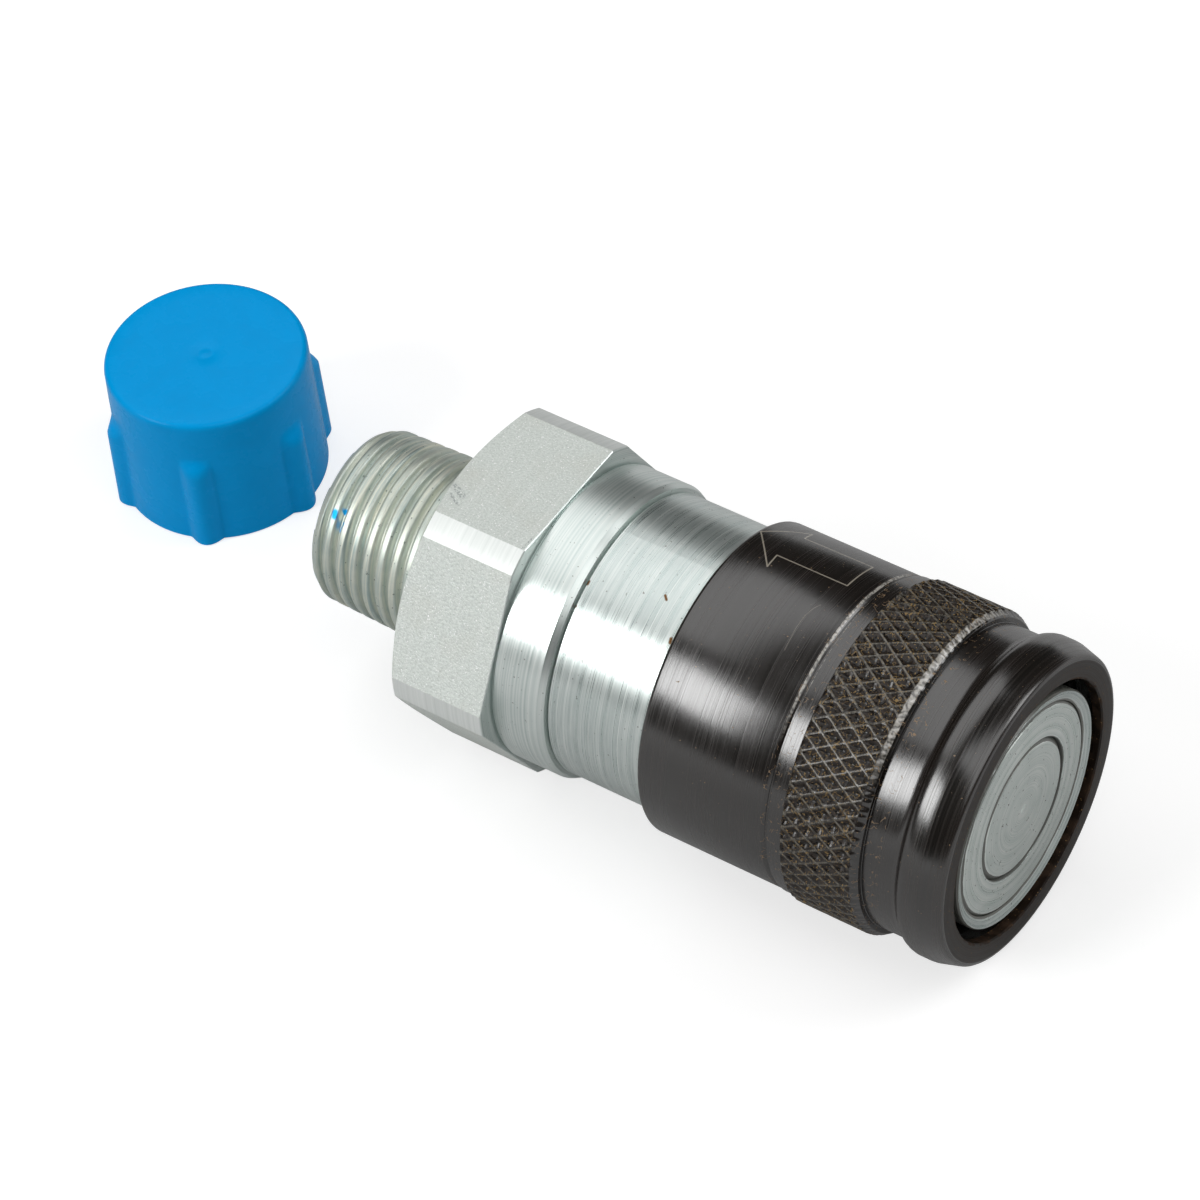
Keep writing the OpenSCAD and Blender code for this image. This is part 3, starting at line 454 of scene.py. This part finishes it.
def threadTree():
    tree, given = startTree("taperThread", [("Pitch", "NodeSocketFloat"), ("End", "NodeSocketFloat"),
                            ("Length", "NodeSocketFloat"), ("End Radius", "NodeSocketFloat"),
                            ("Taper", "NodeSocketFloat"), ("Depth", "NodeSocketFloat"),
                            ("Chamfer Radius", "NodeSocketFloat"), ("Chamfer Slope", "NodeSocketFloat"),
                            ("Foot Radius", "NodeSocketFloat"), ("Lead", "NodeSocketFloat"),
                            ("Columns", "NodeSocketInt"), ("Steps", "NodeSocketInt"),
                            ("Material", "NodeSocketMaterial")])
    whole = addNode(tree, "ShaderNodeMath", [given["Length"], given["Pitch"]], operation="DIVIDE")
    turns = addNode(tree, "ShaderNodeMath", [addNode(tree, "ShaderNodeMath", [whole], operation="CEIL"), 1.0],
                    operation="ADD")
    rows = addNode(tree, "ShaderNodeMath", [turns, given["Steps"], 1.0], operation="MULTIPLY_ADD")
    around = addNode(tree, "ShaderNodeMath", [given["Columns"], 1.0], operation="ADD")
    grid = addNode(tree, "GeometryNodeMeshGrid", {"Size X": 1.0, "Size Y": turns, "Vertices X": around,
                   "Vertices Y": rows})
    spot = addNode(tree, "ShaderNodeSeparateXYZ", [addNode(tree, "GeometryNodeInputPosition")])
    share = addNode(tree, "ShaderNodeMath", [spot.outputs["X"], 0.5], operation="ADD")  # of one turn
    turn = addNode(tree, "ShaderNodeMath", [turns, 0.5, spot.outputs["Y"]], operation="MULTIPLY_ADD")
    behind = addNode(tree, "ShaderNodeMath", [turn, share], operation="SUBTRACT")
    along = addNode(tree, "ShaderNodeMath", [behind, given["Pitch"]], operation="MULTIPLY")
    held = addNode(tree, "ShaderNodeClamp", [along, 0.0, given["Length"]])
    past = addNode(tree, "ShaderNodeMath", [along, held, 1e-7], operation="COMPARE")
    crest = addNode(tree, "ShaderNodeMath", [held, given["Taper"], given["End Radius"]], operation="MULTIPLY_ADD")
    fromCrest = addNode(tree, "ShaderNodeMath", [turn, given["Lead"]], operation="SUBTRACT")
    fold = addNode(tree, "ShaderNodeMath", [fromCrest, 0.5], operation="PINGPONG")  # 0 on a crest, 0.5 in a root
    flank = addNode(tree, "ShaderNodeMapRange", [fold, 0.2, 0.47, 0.0, 1.0], interpolation_type="SMOOTHSTEP")
    sunk = addNode(tree, "ShaderNodeMath", [flank, given["Depth"]], operation="MULTIPLY")
    ridged = addNode(tree, "ShaderNodeMath", [crest, sunk], operation="SUBTRACT")
    chamfer = addNode(tree, "ShaderNodeMath", [held, given["Chamfer Slope"], given["Chamfer Radius"]],
                      operation="MULTIPLY_ADD")
    kept = addNode(tree, "ShaderNodeMath", [ridged, chamfer], operation="MINIMUM")
    radius = addNode(tree, "GeometryNodeSwitch", {0: past, 1: given["Foot Radius"], 2: kept}, input_type="FLOAT")
    angle = addNode(tree, "ShaderNodeMath", [share, 2 * math.pi], operation="MULTIPLY")
    x = addNode(tree, "ShaderNodeMath", [held, given["End"]], operation="SUBTRACT")
    y = addNode(tree, "ShaderNodeMath", [radius, addNode(tree, "ShaderNodeMath", [angle], operation="SINE")],
                operation="MULTIPLY")
    z = addNode(tree, "ShaderNodeMath", [radius, addNode(tree, "ShaderNodeMath", [angle], operation="COSINE")],
                operation="MULTIPLY")
    bent = addNode(tree, "GeometryNodeSetPosition", {"Geometry": grid, "Position":
                   addNode(tree, "ShaderNodeCombineXYZ", [x, y, z])})
    smooth = addNode(tree, "GeometryNodeSetShadeSmooth", {"Geometry": bent, "Shade Smooth": True})
    dressed = addNode(tree, "GeometryNodeSetMaterial", {"Geometry": smooth, "Material": given["Material"]})
    joined = addNode(tree, "GeometryNodeJoinGeometry", [dressed])
    tree.links.new(given["Geometry"], joined.inputs[0])
    addNode(tree, "NodeGroupOutput", [addNode(tree, "GeometryNodeRealizeInstances", [joined])])
    return tree


def makeAdapter(sizes):
    columns = sizes["columns"]
    halfFlat = math.acos(sizes["flats"] / 2 / sizes["cornerRadius"])
    angles = []
    for j in range(columns):
        angle = 2 * math.pi * j / columns
        fold = (angle + math.pi / 6) % (math.pi / 3) - math.pi / 6
        if abs(abs(fold) - halfFlat) < math.pi / columns:  # a column stands exactly on each corner line
            angle += math.copysign(halfFlat, fold) - fold
            fold = math.copysign(halfFlat, fold)
        angles.append((angle, fold))
    hexRadius = [min(sizes["flats"] / 2 / math.cos(fold), sizes["cornerRadius"]) for angle, fold in angles]
    slope = (sizes["hexRear"] - sizes["cornerRear"]) / (sizes["cornerRadius"] - sizes["chamferRadius"])
    rear = [sizes["cornerRear"] + (sizes["cornerRadius"] - r) * slope for r in hexRadius]
    hexEdge = sizes["hexEdge"]

    def hexRing(radii, depths):
        return [(-d, r * math.sin(a), r * math.cos(a)) for r, d, (a, fold) in zip(radii, depths, angles)]

    edge, bore, foot, end = sizes["edge"], sizes["boreRadius"], sizes["threadFoot"], sizes["end"]
    spigot, spigotBore, spigotFront = sizes["spigotRadius"], sizes["spigotBore"], sizes["spigotFront"]
    collar, chamfer, bodyRear, hexFront = (sizes[k] for k in ("collarRadius", "collarChamfer", "bodyRear", "hexFront"))
    turned = [(foot, end), (bore + edge, end), (bore, end - edge), (bore, sizes["coneRear"]),
              (spigotBore, sizes["coneFront"]), (spigotBore, spigotFront + edge), (spigotBore + edge, spigotFront),
              (spigot - edge, spigotFront), (spigot, spigotFront + edge), (spigot, sizes["spigotRear"]),
              (sizes["neckRadius"], sizes["spigotRear"]), (sizes["neckRadius"], bodyRear),
              (collar - chamfer / 2, bodyRear), (collar, bodyRear + chamfer), (collar, hexFront - 0.25),
              (collar - 0.2, hexFront - 0.05), (collar - 0.2, hexFront)]  # a fine groove in front of the hexagon
    rings = [latheRing(r, d, columns) for r, d in turned]
    rings += [hexRing([r - hexEdge for r in hexRadius], [hexFront] * columns),
              hexRing(hexRadius, [hexFront + hexEdge] * columns), hexRing(hexRadius, rear),
              hexRing([sizes["chamferRadius"]] * columns, [sizes["hexRear"]] * columns)]
    rings += [latheRing(r, sizes["hexRear"], columns) for r in (foot + 3, foot)]
    bm = bmesh.new()
    made = ringFaces(bm, rings, False)
    flatsRow = len(turned) + 1
    for j, face in enumerate(made[flatsRow]):
        folds = [abs(angles[j][1]), abs(angles[(j + 1) % columns][1])]
        face.material_index = 1 if min(folds) < halfFlat - 0.001 else 2  # flats keep the grain, corners are turned
    tidyMesh(bm, 18)
    return addPiece("threadedAdapter", bm, [collarZinc, hexZinc, cornerZinc])


threadedAdapter = makeAdapter(adapterSizes)
bake(threadedAdapter, threadTree(), {**threadSizes, "Material": threadZinc})
closeSeams(threadedAdapter, 0.001)
print("adapter made,", len(threadedAdapter.data.polygons), "faces")


# Locking sleeve: turned outline, with a crossed knurl pressed into its band

knurlPitch = {"ridges": 65, "stepMm": 2.92, "cells": 12, "ridgeTurn": 0.17, "stepShift": 0.17}
sleeveSizes = {"outline": [(14.94, 0.3), (14.94, -0.75), (15.09, -0.9), (17.1, -0.9), (17.3, -0.88), (17.5, -0.78),
                           (17.65, -0.6), (17.75, -0.3), (18.28, 1.6), (18.34, 2.1), (18.34, 3.4), (18.26, 3.8),
                           (18.1, 4.19), (17.8, 4.43), (17.6, 4.68), (17.45, 5.05), (17.4, 5.4), (17.4, 8.85),
                           (17.45, 8.9), (17.95, 8.9), (18.05, 8.97), (18.55, 9.7), (18.6, 9.85)],
               "bandRear": 18.1,
               "tail": [(18.25, 18.3), (18.2, 18.35), (18.2, 20.0), (18.15, 20.05), (17.8, 20.07), (17.8, 20.4),
                        (18.07, 20.72), (18.1, 20.8), (18.1, 35.9), (18.07, 36.09), (17.95, 36.25), (17.79, 36.36),
                        (17.6, 36.4), (16.8, 36.4), (16.5, 36.1), (16.5, 15), (14.65, 15), (14.65, 9.2),
                        (15.8, 9.2), (15.8, 0.3)]}
knurlSizes = {"Ridges": knurlPitch["ridges"], "Step": knurlPitch["stepMm"] * mm,
              "Ridge Turn": knurlPitch["ridgeTurn"], "Step Shift": knurlPitch["stepShift"], "Front": -9.6 * mm,
              "Rear": -18.1 * mm, "Depth": 0.45 * mm, "Band Radius": 18.4 * mm}


def knurlTree():
    tree, given = startTree("crossedKnurl", [("Ridges", "NodeSocketInt"), ("Step", "NodeSocketFloat"),
                            ("Ridge Turn", "NodeSocketFloat"), ("Step Shift", "NodeSocketFloat"),
                            ("Front", "NodeSocketFloat"), ("Rear", "NodeSocketFloat"), ("Depth", "NodeSocketFloat"),
                            ("Band Radius", "NodeSocketFloat"), ("Material", "NodeSocketMaterial")])
    place = addNode(tree, "GeometryNodeInputPosition")
    spot = addNode(tree, "ShaderNodeSeparateXYZ", [place])
    x = spot.outputs["X"]
    angle = addNode(tree, "ShaderNodeMath", [spot.outputs["Z"], spot.outputs["Y"]], operation="ARCTAN2")
    around = addNode(tree, "ShaderNodeMath", [angle, 1 / (2 * math.pi)], operation="MULTIPLY")
    ridge = addNode(tree, "ShaderNodeMath", [around, given["Ridges"], given["Ridge Turn"]],
                    operation="MULTIPLY_ADD")
    step = addNode(tree, "ShaderNodeMath", [addNode(tree, "ShaderNodeMath", [x, given["Step"]], operation="DIVIDE"),
                   given["Step Shift"]], operation="ADD")
    first = addNode(tree, "ShaderNodeMath", [addNode(tree, "ShaderNodeMath", [ridge, step], operation="ADD"), 0.5],
                    operation="PINGPONG")
    second = addNode(tree, "ShaderNodeMath", [addNode(tree, "ShaderNodeMath", [ridge, step], operation="SUBTRACT"),
                     0.5], operation="PINGPONG")
    nearest = addNode(tree, "ShaderNodeMath", [first, second], operation="MINIMUM")
    pit = addNode(tree, "ShaderNodeMapRange", [nearest, 0.03, 0.46, 0.0, 1.0])
    across = addNode(tree, "ShaderNodeVectorMath", [place, (0, 1, 1)], operation="MULTIPLY")
    away = addNode(tree, "ShaderNodeVectorMath", [across], operation="LENGTH").outputs["Value"]
    outer = addNode(tree, "ShaderNodeMath", [away, given["Band Radius"]], operation="GREATER_THAN")
    fromFront = addNode(tree, "ShaderNodeMath", [given["Front"], x], operation="SUBTRACT")
    fromRear = addNode(tree, "ShaderNodeMath", [x, given["Rear"]], operation="SUBTRACT")
    inside = addNode(tree, "ShaderNodeMath", [fromFront, fromRear], operation="MINIMUM")
    faded = addNode(tree, "ShaderNodeMapRange", [inside, -0.00005, 0.0002, 0.0, 1.0])
    share = addNode(tree, "ShaderNodeMath", [addNode(tree, "ShaderNodeMath", [pit, faded], operation="MULTIPLY"),
                    outer], operation="MULTIPLY")
    sink = addNode(tree, "ShaderNodeMath", [addNode(tree, "ShaderNodeMath", [share, given["Depth"]],
                   operation="MULTIPLY"), -1.0], operation="MULTIPLY")
    inward = addNode(tree, "ShaderNodeVectorMath", [across], operation="NORMALIZE")
    moved = addNode(tree, "ShaderNodeVectorMath", {0: inward, "Scale": sink}, operation="SCALE")
    pressed = addNode(tree, "GeometryNodeSetPosition", {"Geometry": given["Geometry"], "Offset": moved})
    solid = addNode(tree, "GeometryNodeRealizeInstances", [pressed])
    onBand = addNode(tree, "ShaderNodeMath", [inside, 0.0], operation="GREATER_THAN")
    addNode(tree, "NodeGroupOutput", [addNode(tree, "GeometryNodeSetMaterial", {"Geometry": solid,
            "Selection": onBand, "Material": given["Material"]})])
    return tree


def makeSleeve(sizes, pitch):  # rows and columns of the band fall on the knurl's crossings
    cells, step = pitch["cells"], pitch["stepMm"]
    columns = pitch["ridges"] * cells
    front, rear = sizes["outline"][-1], sizes["bandRear"]
    rowDepths = [(pitch["stepShift"] + k / cells) * step for k in range(-8 * cells, 8 * cells)]
    band = [(front[0], d) for d in rowDepths if front[1] + 0.02 < d < rear - 0.02] + [(front[0], rear)]
    outline = sizes["outline"] + band + sizes["tail"]
    bm = bmesh.new()
    turn = -pitch["ridgeTurn"] * cells
    made = ringFaces(bm, [latheRing(r, d, columns, turn) for r, d in outline], True)
    for face in sum(made[:3] + made[-1:], []):  # the mouth and the front face are oily, and take a duller copy of the black as painted shade
        face.material_index = 1
    tidyMesh(bm, 32)
    return addPiece("knurledSleeve", bm, [blackSteel, oiledShadedSteel])


knurledSleeve = makeSleeve(sleeveSizes, knurlPitch)
bake(knurledSleeve, knurlTree(), {**knurlSizes, "Material": knurlSteel})
print("sleeve made,", len(knurledSleeve.data.polygons), "faces")


# Thread cap: moulded shell with six soft-edged grip ribs

capSizes = {"x": -115.9, "y": 11.5, "floor": -18.6, "height": 18.3, "baseRadius": 12.15, "topRadius": 11.8,
            "mouthRadius": 10.55, "bottomRadius": 10.15, "lead": 6, "endThickness": 1.7, "round": 0.7,
            "columns": 288, "rowMm": 0.5}
ribSizes = {"Centre": (-115.9 * mm, 11.5 * mm, 0), "Floor": -18.6 * mm, "Ribs": 6, "Turn": math.radians(-3),
            "Half Width": 1.9 * mm, "Stand Out": 1.12 * mm, "Top": 12.4 * mm, "Fade": 1.4 * mm,
            "Shell Radius": 11.3 * mm}


def ribTree():
    tree, given = startTree("gripRibs", [("Centre", "NodeSocketVector"), ("Floor", "NodeSocketFloat"),
                            ("Ribs", "NodeSocketInt"), ("Turn", "NodeSocketFloat"), ("Half Width", "NodeSocketFloat"),
                            ("Stand Out", "NodeSocketFloat"), ("Top", "NodeSocketFloat"), ("Fade", "NodeSocketFloat"),
                            ("Shell Radius", "NodeSocketFloat"), ("Material", "NodeSocketMaterial")])
    place = addNode(tree, "ShaderNodeVectorMath", [addNode(tree, "GeometryNodeInputPosition"), given["Centre"]],
                    operation="SUBTRACT")
    spot = addNode(tree, "ShaderNodeSeparateXYZ", [place])
    across = addNode(tree, "ShaderNodeVectorMath", [place, (1, 1, 0)], operation="MULTIPLY")
    away = addNode(tree, "ShaderNodeVectorMath", [across], operation="LENGTH").outputs["Value"]
    angle = addNode(tree, "ShaderNodeMath", [addNode(tree, "ShaderNodeMath", [spot.outputs["Y"], spot.outputs["X"]],
                    operation="ARCTAN2"), given["Turn"]], operation="SUBTRACT")
    gap = addNode(tree, "ShaderNodeMath", [math.pi, given["Ribs"]], operation="DIVIDE")
    offset = addNode(tree, "ShaderNodeMath", [angle, gap], operation="PINGPONG")  # angle to the nearest rib
    beside = addNode(tree, "ShaderNodeMath", [offset, away], operation="MULTIPLY")
    bend = addNode(tree, "ShaderNodeMapRange", [beside, 0.0, given["Half Width"], 0.0, math.pi / 2])
    near = addNode(tree, "ShaderNodeMath", [bend], operation="COSINE")
    height = addNode(tree, "ShaderNodeMath", [spot.outputs["Z"], given["Floor"]], operation="SUBTRACT")
    below = addNode(tree, "ShaderNodeMath", [given["Top"], height], operation="SUBTRACT")
    top = addNode(tree, "ShaderNodeMapRange", [below, 0.0, given["Fade"], 0.0, 1.0])
    rounded = addNode(tree, "ShaderNodeMath", [top, 0.5], operation="POWER")
    outer = addNode(tree, "ShaderNodeMath", [away, given["Shell Radius"]], operation="GREATER_THAN")
    share = addNode(tree, "ShaderNodeMath", [addNode(tree, "ShaderNodeMath", [near, rounded], operation="MULTIPLY"),
                    outer], operation="MULTIPLY")
    reach = addNode(tree, "ShaderNodeMath", [share, given["Stand Out"]], operation="MULTIPLY")
    outward = addNode(tree, "ShaderNodeVectorMath", [across], operation="NORMALIZE")
    moved = addNode(tree, "ShaderNodeVectorMath", {0: outward, "Scale": reach}, operation="SCALE")
    ribbed = addNode(tree, "GeometryNodeSetPosition", {"Geometry": given["Geometry"], "Offset": moved})
    solid = addNode(tree, "GeometryNodeRealizeInstances", [ribbed])
    addNode(tree, "NodeGroupOutput", [addNode(tree, "GeometryNodeSetMaterial", {"Geometry": solid,
            "Material": given["Material"]})])
    return tree


def makeCap(sizes):
    base, top, height, soft = sizes["baseRadius"], sizes["topRadius"], sizes["height"], sizes["round"]
    bottom, mouth, inside = sizes["bottomRadius"], sizes["mouthRadius"], height - sizes["endThickness"]
    rows = int((height - soft) / sizes["rowMm"])
    outline = [(0, inside), (bottom - 0.3, inside), (bottom, inside - 0.3), (bottom, sizes["lead"]), (mouth, 0.3),
               (mouth + 0.15, 0), (base - 0.2, 0)]
    outline += [(base + (top - base) * h / height, h) for h in
                [0.15] + [(height - soft) * i / rows for i in range(1, rows + 1)]]
    outline += [(top - soft + soft * math.cos(math.radians(a)), height - soft + soft * math.sin(math.radians(a)))
                for a in (15, 30, 45, 60, 75, 90)]
    outline += [(top * share, height) for share in (0.8, 0.5, 0.2)]
    outline += [(1.2, height), (1.0, height - 0.05), (0.6, height - 0.05), (0.4, height), (0, height)]  # gate mark
    angles = [2 * math.pi * j / sizes["columns"] for j in range(sizes["columns"])]
    rings = [[(sizes["x"] + radius * math.cos(a), sizes["y"] + radius * math.sin(a), sizes["floor"] + h)
              for a in angles] for radius, h in outline]
    bm = bmesh.new()
    ringFaces(bm, rings, False)
    tidyMesh(bm, 40)
    return addPiece("ribbedCap", bm, [capPlastic])


ribbedCap = makeCap(capSizes)
bake(ribbedCap, ribTree(), {**ribSizes, "Material": capPlastic})
print("cap made,", len(ribbedCap.data.polygons), "faces")


# The other pieces keep their CAD shape

nodeFinishes = {"socket_body": turnedZinc, "valve_sleeve": faceSteel, "centre_stem": faceSteel,
                "sleeve_retaining_ring": springSteel, "locking_balls": ballSteel, "sleeve_spring_seat": springSteel,
                "sleeve_spring": springSteel, "valve_spring": springSteel, "stem_carrier": turnedZinc,
                "stem_washer": springSteel, "stem_nut": turnedZinc, "probe_seal": sealRubber,
                "probe_backup_ring": backupPlastic, "stem_seal": sealRubber, "stem_backup_ring": backupPlastic,
                "adapter_seal": sealRubber, "adapter_backup_ring": backupPlastic, "port_adapter": turnedZinc,
                "locking_sleeve": blackSteel, "thread_cap": capPlastic}
for name, material in nodeFinishes.items():
    nodes[name].data.materials.clear()
    nodes[name].data.materials.append(material)

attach(threadedAdapter, "coupler")
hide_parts("port_adapter")
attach(knurledSleeve, "sleeve")
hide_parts("locking_sleeve")
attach(ribbedCap, "coupler")
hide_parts("thread_cap")
print("pieces ride on their bodies")


# Studio: white floor, soft lamps, camera where the photograph was taken from

studio = {"floorHalf": 3.0, "floorZ": -18.6 * mm, "floorColour": "#C4C4C4", "floorGlow": 0.6,
          "underCoupler": (-0.04, 0, -0.0186), "shadeFrom": 0.06, "shadeTo": 0.3, "mirrorShare": 0.5,
          "worldColour": "#E6EAE6", "worldStrength": 0.05}
lamps = {"topSoftbox": {"place": (-1.0, 0.35, 1.9), "aim": (-0.05, 0, 0), "size": (2.5, 1.3), "watts": 15.5},
         "stripSoftbox": {"place": (-0.87, -1.45, 1.08), "aim": (-0.05, 0, 0), "size": (0.9, 0.85), "watts": 21},
         "cameraFill": {"place": (0.9, -0.45, 1.75), "aim": (-0.04, 0, 0), "size": (1.6, 1.6), "watts": 13},
         "rearSoftbox": {"place": (1.0, 0.86, 1.15), "aim": (-0.02, 0, 0), "size": (0.9, 0.9), "watts": 9.5}}


def makeFloor(settings):
    material, tree = startMaterial("whitePaperFloor")
    path = addNode(tree, "ShaderNodeLightPath")
    spot = addNode(tree, "ShaderNodeTexCoord").outputs["Object"]
    apart = addNode(tree, "ShaderNodeVectorMath", [spot, settings["underCoupler"]], operation="DISTANCE")
    clear = addNode(tree, "ShaderNodeMapRange", [apart.outputs["Value"], settings["shadeFrom"], settings["shadeTo"],
                    0, settings["mirrorShare"]])  # painted shadow: the floor's glow seen in reflections fades out under the coupler
    mirrored = addNode(tree, "ShaderNodeMath", [path.outputs["Is Glossy Ray"], clear], operation="MULTIPLY")
    seen = addNode(tree, "ShaderNodeMath", [path.outputs["Is Camera Ray"], mirrored], operation="MAXIMUM")
    shown = addNode(tree, "ShaderNodeMath", [seen, path.outputs["Is Transmission Ray"]], operation="MAXIMUM")
    glow = addNode(tree, "ShaderNodeEmission", {"Color": (1, 1, 1, 1), "Strength":
                   addNode(tree, "ShaderNodeMath", [shown, settings["floorGlow"]], operation="MULTIPLY")})
    paper = addNode(tree, "ShaderNodeBsdfDiffuse", {"Color": colour(settings["floorColour"])})
    addNode(tree, "ShaderNodeOutputMaterial", [addNode(tree, "ShaderNodeAddShader", [glow, paper])])
    half, z = settings["floorHalf"], settings["floorZ"]
    bm = bmesh.new()
    bm.faces.new([bm.verts.new(p) for p in ((-half, -half, z), (half, -half, z), (half, half, z), (-half, half, z))])
    floor = addPiece("paperFloor", bm, [material])


def makeWorld(settings):
    world = bpy.data.worlds.new("studioWorld")
    world.use_nodes = True
    tree = world.node_tree
    tree.nodes.clear()
    addNode(tree, "ShaderNodeOutputWorld", [addNode(tree, "ShaderNodeBackground",
            [colour(settings["worldColour"]), settings["worldStrength"]])])
    bpy.context.scene.world = world


def addLamp(name, settings):
    lamp = bpy.data.lights.new(name, "AREA")
    lamp.shape = "RECTANGLE"
    lamp.size, lamp.size_y = settings["size"]
    lamp.energy = settings["watts"]
    holder = bpy.data.objects.new(name, lamp)
    holder.location = settings["place"]
    holder.rotation_euler = (Vector(settings["aim"]) - holder.location).to_track_quat("-Z", "Y").to_euler()
    bpy.context.scene.collection.objects.link(holder)


makeFloor(studio)
makeWorld(studio)
for lampName, lampSettings in lamps.items():
    addLamp(lampName, lampSettings)

lens = {"focal": 157.24, "place": (0.18722, -0.29810, 0.42086), "right": (0.82645, 0.55770, -0.07721),
        "up": (-0.37050, 0.64197, 0.67127), "back": (0.42393, -0.52617, 0.73718)}
camera = bpy.data.cameras.new("photoCamera")
camera.lens = lens["focal"]
camera.sensor_width = 36
cameraHolder = bpy.data.objects.new("photoCamera", camera)
turnMatrix = Matrix((lens["right"], lens["up"], lens["back"])).transposed()
cameraHolder.matrix_world = Matrix.Translation(lens["place"]) @ turnMatrix.to_4x4()
bpy.context.scene.collection.objects.link(cameraHolder)
bpy.context.scene.camera = cameraHolder
bpy.context.scene.view_settings.view_transform = "Standard"
print("studio ready")
